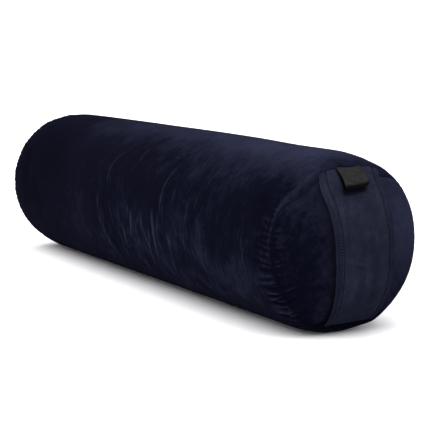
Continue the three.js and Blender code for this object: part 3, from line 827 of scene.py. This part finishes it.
def make_stitches(material):
    """The topstitching: short capsules of thread down both stitched lines, each arched a little.
    A capsule is rings about its middle line, their radius the square root of 1 - along ^ 2."""
    rows = np.linspace(-0.97, 0.97, 3001)
    along = np.linspace(-1, 1, STITCH_PLACES)
    height = STRAP_THICKNESS - STITCH_SUNK + STITCH_ARCH * (1 - along ** 2)
    radius = THREAD_RADIUS * np.sqrt(np.clip(1 - (0.9 * along) ** 2, 0.05, 1))[:, None, None]
    turn = (np.arange(STITCH_SIDES) * 2 * np.pi / STITCH_SIDES)[:, None]
    pieces = []
    for edge in (-1, 1):
        u = edge * (1 - STITCH_INSET / (STRAP_WIDTH / 2))
        line = strap_lifted(u, rows, np.full(rows.shape, STRAP_THICKNESS - STITCH_SUNK))
        run = run_along(line)
        starts = np.arange(STITCH_PITCH, run[-1] - STITCH_PITCH, STITCH_PITCH)
        w = np.interp(starts[:, None] + STITCH_HALF * along, run, rows)
        centre = strap_lifted(u, w, height + 0 * w)
        out = strap_lifted(u, w, np.ones(w.shape)) - strap_inner(u, w)
        sideways = np.cross(out, unit(np.gradient(centre, axis=1)))
        spokes = np.cos(turn) * out[:, :, None] + np.sin(turn) * sideways[:, :, None]
        pieces.append(centre[:, :, None] + radius * spokes)
    rings = handle_place(np.concatenate(pieces)) + AXIS
    count, rows, sides = rings.shape[:3]
    middles = np.stack([rings[:, 0].mean(1), rings[:, -1].mean(1)], 1)
    points = np.concatenate([rings.reshape(count, -1, 3), middles], 1)
    faces = ring_faces([sides] * rows)[None] + (np.arange(count) * points.shape[1])[:, None, None]
    return mesh_object("strap_topstitching", points.reshape(-1, 3), faces.reshape(-1, 4), material)


def run_along(line):
    """How far along a line of places each place is."""
    return np.concatenate([[0], np.cumsum(np.linalg.norm(np.diff(line, axis=0), axis=1))])


def label_line(y):
    """Places down the strap's outer face along one line of the label, with their directions off
    the strap and down it and their shares of its length. The line swings to one side as it runs
    down, so its run is worked out three times over."""
    whole = label_hang(y)
    w = np.linspace(1, 0.2, 1200)
    length = np.zeros(w.shape)
    for _ in range(3):
        across = (label_middle(length) + y - strap_shift(w)) * 2 / STRAP_WIDTH
        line = strap_lifted(across, w, np.full(w.shape, STRAP_THICKNESS))
        length = run_along(line)
    off = strap_lifted(across, w, np.full(w.shape, STRAP_THICKNESS + 1.0)) - line
    share = np.linspace(LABEL_START, whole, LEAF_PLACES)
    at, out = (np.stack([np.interp(share, length, way) for way in ways.T], -1) for ways in (line, off))
    return at, out, unit(np.gradient(at, axis=0)), share / whole


def make_label(material):
    """A ribbon folded in two: its under leaf runs down from the seam, turns over in a half round
    and runs back. Its two skins lie half its thickness each side of this line, along the
    ribbon's normal, and meet in rounded edges."""
    lines = np.linspace(-1, 1, LABEL_LINES) * LABEL_WIDTH / 2
    leaves = []
    for y in lines:
        at, out, down, share = label_line(y)
        near = LABEL_ROOT + LABEL_STANDOFF * smooth(share, 0, 1)
        far = near + 2 * LABEL_LEAF + MEETING_GAP + (LABEL_OPENING + LABEL_LOOP) * smooth(share, 0, 1)
        under = at + out * (near + LABEL_LEAF / 2)[:, None]
        over = at + out * (far - LABEL_LEAF / 2)[:, None]
        middle, arm = (under[-1] + over[-1]) / 2, (under[-1] - over[-1]) / 2
        turn = np.linspace(0, np.pi, FOLD_PLACES + 2)[1:-1, None]
        fold = middle + arm * np.cos(turn) + down[-1] * np.linalg.norm(arm) * np.sin(turn)
        leaves.append(np.concatenate([under, fold, over[::-1]]))
    ribbon = np.array(leaves)
    across, along = np.gradient(ribbon, axis=0), np.gradient(ribbon, axis=1)
    normal = unit(np.cross(along, across))
    border = np.minimum(np.abs(lines + LABEL_WIDTH / 2), np.abs(lines - LABEL_WIDTH / 2))
    rounding = 1 - np.clip(border / LABEL_EDGE_ROUND, 0.1, 1)
    half = LABEL_SKIN * np.sqrt(1 - rounding ** 2)[:, None, None]
    loop = np.concatenate([ribbon + normal * half, (ribbon - normal * half)[:, ::-1]], 1)
    rings = handle_place(loop)
    rows, count = rings.shape[:2]
    skins = turned_round(ring_faces([count] * rows, poles=False))
    ends = flat_caps(rows, count, ribbon.shape[1])
    place = np.arange(ribbon.shape[1])
    place, line = np.meshgrid(np.concatenate([place, place[::-1]]), lines)
    # Painted shade: -1 on the under leaf and the fold's underside, 0 on the lit leaf
    pile_and_shading = smooth(place, LABEL_SHADE_FROM, LABEL_SHADE_TO) - 1
    faces = np.concatenate([skins, ends])
    uv = np.stack([place * LABEL_PLACE_PITCH, line], -1).reshape(-1, 2)[faces]
    return mesh_object("folded_woven_label", rings.reshape(-1, 3) + AXIS, faces, material, pile_and_shading, uv)


def flat_caps(rows, count, leaf):
    """Faces that close the first and the last line of a loop whose two skins lie face to face."""
    j = np.arange(leaf - 1)
    pair = count - 1 - j
    first = np.stack([j, j + 1, pair - 1, pair], -1)
    last = (rows - 1) * count + first
    return np.concatenate([first[:, ::-1], last])


def turned_round(faces):
    """The same faces seen from their other side."""
    turned = faces[:, [0, 3, 2, 1]]
    triangle = faces[:, 2] == faces[:, 3]
    turned[triangle] = faces[triangle][:, [0, 2, 1, 1]]
    return turned


# Finishes

def node(tree, kind, **values):
    """A shader node with its own properties and input values set by name."""
    made = tree.nodes.new(kind)
    for name, value in values.items():
        if name in made.inputs:
            made.inputs[name].default_value = value
        else:
            setattr(made, name, value)
    return made


def cloth_material(name, roughness, gloss):
    """A new material, with its tree and its shader."""
    material = bpy.data.materials.new(name)
    material.use_nodes = True
    shader = material.node_tree.nodes["Principled BSDF"]
    shader.inputs["Roughness"].default_value = roughness
    shader.inputs["Specular IOR Level"].default_value = gloss
    return material, material.node_tree, shader


def ramp(tree, factor, places, shader):
    """Colours the shader by a factor, through (place, colour) stops."""
    made = tree.nodes.new("ShaderNodeValToRGB")
    stops = made.color_ramp.elements
    stops[0].position, stops[1].position = places[0][0], places[-1][0]
    for place, _ in places[1:-1]:
        stops.new(place)
    for stop, (_, colour) in zip(stops, places):
        stop.color = (*colour, 1)
    tree.links.new(factor, made.inputs["Fac"])
    tree.links.new(made.outputs["Color"], shader.inputs["Base Color"])


def relief(tree, height, strength, distance, shader):
    """Gives the shader a fine relief by bump."""
    bump = node(tree, "ShaderNodeBump", Strength=strength, Distance=distance)
    tree.links.new(height, bump.inputs["Height"])
    tree.links.new(bump.outputs["Normal"], shader.inputs["Normal"])


def stretched_noise(tree, stretch, scale, detail, roughness=0.5):
    """Noise on Object coordinates, finer along the axes with a larger stretch."""
    place = node(tree, "ShaderNodeTexCoord")
    mapping = node(tree, "ShaderNodeMapping", Scale=stretch)
    tree.links.new(place.outputs["Object"], mapping.inputs["Vector"])
    noise = node(tree, "ShaderNodeTexNoise", Scale=scale, Detail=detail, Roughness=roughness)
    tree.links.new(mapping.outputs["Vector"], noise.inputs["Vector"])
    return noise.outputs["Fac"]


def pile_and_shading_tone(tree):
    """The piece's tone from its pile with painted light and shade, read from its points."""
    return node(tree, "ShaderNodeAttribute", attribute_name="pile_and_shading").outputs["Fac"]


def sum_of(tree, terms, start, raw=()):
    """start plus each term's value less a half, times its weight. Of a raw term, whose middle
    is 0, the whole value counts."""
    total = None
    for value, weight in (*terms, *raw):
        scaled = node(tree, "ShaderNodeMath", operation="MULTIPLY_ADD")
        tree.links.new(value, scaled.inputs[0])
        scaled.inputs[1].default_value = weight
        if total is None:
            scaled.inputs[2].default_value = start - sum(weight for _, weight in terms) / 2
        else:
            tree.links.new(total, scaled.inputs[2])
        total = scaled.outputs[0]
    return total


def velvet(name, dark, middle, light, start, tint, streak_axes, patch_size, blotches=1.0):
    """Short-pile velvet. Its tone follows broad patches, mottling, soft streaks, flecks, grain
    and the piece's own tone from its pile with painted light and shade, under a fine bump and a soft
    sheen. blotches is its share of the usual patches, mottling and streaks."""
    material, tree, shader = cloth_material(name, roughness=0.95, gloss=0.0)
    shader.inputs["Sheen Weight"].default_value = 0.014
    shader.inputs["Sheen Roughness"].default_value = 0.42
    shader.inputs["Sheen Tint"].default_value = (*tint, 1)
    broad = stretched_noise(tree, (1, 1.2, 1.2), 1 / patch_size, 3, 0.55)
    mottle = stretched_noise(tree, (1.3, 1, 1), 42, 2, 0.6)
    streaks = stretched_noise(tree, streak_axes, 60, 3, 0.6)
    flecks = stretched_noise(tree, (2.6, 1, 1), 130, 2, 0.6)
    grain = stretched_noise(tree, (1, 1, 1), 900, 2, 0.6)
    terms = [(broad, 0.5 * blotches), (mottle, 0.34 * blotches), (streaks, 0.36 * blotches)]
    tone = sum_of(tree, terms + [(flecks, 0.36), (grain, 0.3)], start, [(pile_and_shading_tone(tree), 0.6)])
    ramp(tree, tone, [(0.0, dark), (0.45, middle), (1.0, light)], shader)
    relief(tree, sum_of(tree, [(streaks, 0.6), (grain, 0.35)], 0.5), 0.35, 0.0012, shader)
    return material


def thread(name, colour):
    """Twisted polyester thread: a fine wave along it in tone and bump."""
    material, tree, shader = cloth_material(name, roughness=0.6, gloss=0.3)
    twist = stretched_noise(tree, (1, 1, 2.5), 1800, 1)
    ramp(tree, twist, [(0.3, tuple(0.55 * c for c in colour)), (0.7, colour)], shader)
    relief(tree, twist, 0.3, 0.0001, shader)
    return material


def woven_ribbon(name, dark, light):
    """Ribbed woven ribbon on its own UV map: ribs across it and finer warp along it, darker
    where the painted shade on the underside of its fold lies."""
    material, tree, shader = cloth_material(name, roughness=0.7, gloss=0.01)
    place = node(tree, "ShaderNodeUVMap", uv_map="cloth")
    waves = []
    for direction, scale in (("X", 330), ("Y", 520)):
        wave = node(tree, "ShaderNodeTexWave", wave_type="BANDS", bands_direction=direction,
                    Scale=scale, Distortion=0.4, Detail=1)
        tree.links.new(place.outputs["UV"], wave.inputs["Vector"])
        waves.append(wave.outputs["Fac"])
    ribs, warp = waves
    wear = stretched_noise(tree, (1, 1, 1), 160, 3)
    weave = sum_of(tree, [(ribs, 0.35), (warp, 0.3), (wear, 0.5)], 0.5)
    tone = sum_of(tree, [(weave, 1.0)], 0.5, [(pile_and_shading_tone(tree), 0.6)])
    ramp(tree, tone, [(0.1, dark), (0.9, light)], shader)
    relief(tree, weave, 0.5, 0.0003, shader)
    return material


# The scene

def make_camera():
    """The photograph's view of the bolster."""
    lens_data = bpy.data.cameras.new("photo_camera")
    lens_data.lens, lens_data.sensor_width = LENS, SENSOR_WIDTH
    camera = placed("photo_camera", lens_data, Vector(CAMERA_AIM) - Vector(CAMERA_PLACE))
    camera.location = CAMERA_PLACE
    bpy.context.scene.camera = camera


def make_studio():
    """A pale floor, flat for metres and then swept up all round: rings about a middle point, one
    for each place along the floor's profile."""
    along, rise = np.array(FLOOR_PROFILE).T / MM
    angle, run = np.meshgrid(np.arange(FLOOR_SIDES) * 2 * np.pi / FLOOR_SIDES, np.arange(len(along)))
    rings = np.stack([along[run] * np.cos(angle), along[run] * np.sin(angle), rise[run]], -1)
    points = np.concatenate([rings.reshape(-1, 3), [[0, 0, 0]]])
    j = np.arange(FLOOR_SIDES)
    k = (j + 1) % FLOOR_SIDES
    middle = np.stack([np.full(FLOOR_SIDES, len(points) - 1), j, k, k], -1)
    faces = np.concatenate([ring_faces([FLOOR_SIDES] * len(along), poles=False), middle])
    material, _, shader = cloth_material("studio_paper", roughness=0.9, gloss=0.1)
    shader.inputs["Base Color"].default_value = (0.86, 0.85, 0.87, 1)
    mesh_object("studio_floor", points, faces, material)


def sun(name, towards, strength, size):
    """Even light from one direction; size is how wide its source looks, in degrees."""
    light = bpy.data.lights.new(name, "SUN")
    light.energy, light.angle = strength, np.radians(size)
    placed(name, light, Vector(towards))


def make_light():
    """Soft light from all round, from above and from the far side."""
    world = bpy.data.worlds.new("studio")
    world.use_nodes = True
    surroundings = world.node_tree.nodes["Background"]
    surroundings.inputs["Color"].default_value = (1, 1, 1, 1)
    surroundings.inputs["Strength"].default_value = 0.7
    bpy.context.scene.world = world
    sun("ceiling_softbox", (-0.1, 0.25, -1), strength=5.0, size=90)
    sun("window_side", (-0.75, -0.6, -0.5), strength=1.2, size=50)
    bpy.context.scene.view_settings.view_transform = "Standard"


def main():
    """Builds the pieces with their finishes, hangs each on the root body in place of the imported part
    it hides, and adds the studio.
    """
    make_camera()
    near_gathers, far_gathers = gather_table(21, 1), gather_table(8, -1)
    navy = velvet("navy_velvet", *NAVY_PILE, 0.42, NAVY_SHEEN, streak_axes=(6, 1, 1), patch_size=0.09)
    panel_navy = velvet("panel_velvet", *NAVY_PILE, 0.42, NAVY_SHEEN, streak_axes=(1, 1, 1),
                        patch_size=0.09, blotches=0.55)
    strap_navy = velvet("strap_velvet", *STRAP_PILE_AND_LIGHT, 0.45, STRAP_SHEEN, streak_axes=(1, 5, 0.7),
                        patch_size=0.05)
    sewing = thread("navy_thread", THREAD_COLOUR)
    ribbon = woven_ribbon("label_ribbon", *RIBBON_COLOURS)
    tube = make_tube({1: near_gathers, -1: far_gathers}, navy)
    near_panel = make_panel("near_panel_velvet", 1, near_gathers, panel_navy)
    far_panel = make_panel("far_panel_velvet", -1, far_gathers, panel_navy)
    strap = make_strap(strap_navy)
    stitches = make_stitches(sewing)
    label = make_label(ribbon)
    for piece in (tube, near_panel, far_panel, strap, stitches, label):
        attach(piece, "root")
    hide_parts("tube_body")
    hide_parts("near_end_panel")
    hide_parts("far_end_panel")
    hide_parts("carrying_strap")
    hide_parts("folded_label")
    make_studio()
    make_light()


main()
bpy.context.view_layer.update()
